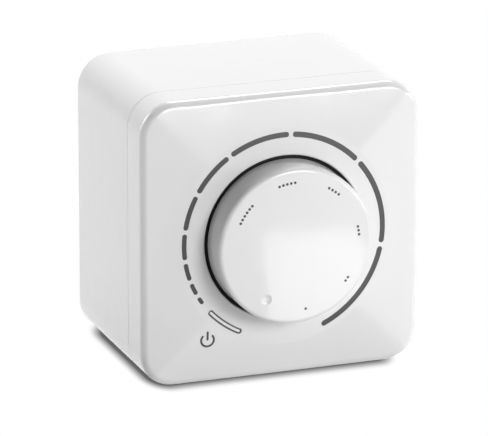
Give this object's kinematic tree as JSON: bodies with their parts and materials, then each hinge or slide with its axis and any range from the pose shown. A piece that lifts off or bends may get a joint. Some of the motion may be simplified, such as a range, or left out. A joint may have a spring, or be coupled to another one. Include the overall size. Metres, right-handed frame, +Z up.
{
  "type": "rotary fan speed controller",
  "caption": "Surface-mounted square speed controller with a deep box, a crowned cover with an inlaid speed scale, a large turning knob and its electronics inside.",
  "frame": {"origin": "centre of the back face that lies on the wall", "axes": "+Z up, +X to the right seen from the front, +Y into the wall; the knob points along -Y"},
  "size_m": [0.082, 0.069, 0.082],
  "materials": {
    "shell": "glossy moulded white plastic",
    "knob": "glossy moulded white plastic",
    "dust_foam": "black foam rubber",
    "mark_dark": "dark grey inlay",
    "mark_white": "white inlay",
    "spring_steel": "spring steel",
    "shaft_metal": "turned aluminium",
    "pot_case": "black moulded phenolic",
    "tinned_wire": "tinned wire",
    "bush_brass": "turned brass",
    "washer_fibre": "red fibre",
    "plate_aluminium": "rolled aluminium sheet",
    "screw_steel": "zinc-plated steel",
    "spacer_brass": "nickelled brass",
    "board": "green solder resist on glass laminate",
    "core_powder": "painted iron powder",
    "winding_copper": "enamelled copper wire",
    "pad_silicone": "grey silicone sheet",
    "epoxy_black": "black moulded epoxy",
    "film_case": "yellow moulded case",
    "timing_case": "red moulded case",
    "diac_glass": "blue lacquered glass",
    "resistor_body": "tan lacquer",
    "fuse_glass": "clear glass",
    "cap_nickel": "nickel-plated brass",
    "trimmer_case": "blue moulded case",
    "trimmer_dial": "white moulded rotor",
    "terminal_case": "green moulded case",
    "clamp_brass": "plated brass"
  },
  "bodies": {
    "housing": {"back_box": "shell", "front_cover": "shell", "dust_ring": "dust_foam", "scale_marks": "mark_dark", "off_mark_rim": "mark_dark", "off_mark": "mark_white", "fuse_clips": "spring_steel", "pot_body": "pot_case", "pot_switch": "pot_case", "pot_pins": "tinned_wire", "triac_leads": "tinned_wire", "pot_bush": "bush_brass", "pot_nut": "bush_brass", "cover_nut": "bush_brass", "pot_washer": "washer_fibre", "cover_washer": "washer_fibre", "mounting_plate": "plate_aluminium", "triac_tab": "plate_aluminium", "plate_screws": "screw_steel", "spacer_screws": "screw_steel", "triac_screw": "screw_steel", "triac_nut": "screw_steel", "terminal_screws": "screw_steel", "board_spacers": "spacer_brass", "circuit_board": "board", "choke_core": "core_powder", "choke_winding": "winding_copper", "triac_pad": "pad_silicone", "triac_body": "epoxy_black", "suppression_capacitor": "film_case", "timing_capacitor": "timing_case", "diac": "diac_glass", "resistors": "resistor_body", "fuse_tube": "fuse_glass", "fuse_caps": "cap_nickel", "trimmer_base": "trimmer_case", "terminal_block": "terminal_case", "terminal_clamps": "clamp_brass"},
    "knob": {"knob": "knob", "knob_spring": "spring_steel", "pot_shaft": "shaft_metal", "shaft_clip": "spring_steel"},
    "trimmer": {"trimmer_rotor": "trimmer_dial"}
  },
  "joints": [
    {"name": "knob_turn", "type": "hinge", "parent": "housing", "child": "knob", "pos_m": [0, -0.06, 0], "axis": [0, 1, 0], "range_deg": [0, 270]},
    {"name": "trimmer_turn", "type": "hinge", "parent": "housing", "child": "trimmer", "pos_m": [-0.0085, -0.0237, -0.0185], "axis": [0, 1, 0], "range_deg": [-120, 120]}
  ]
}
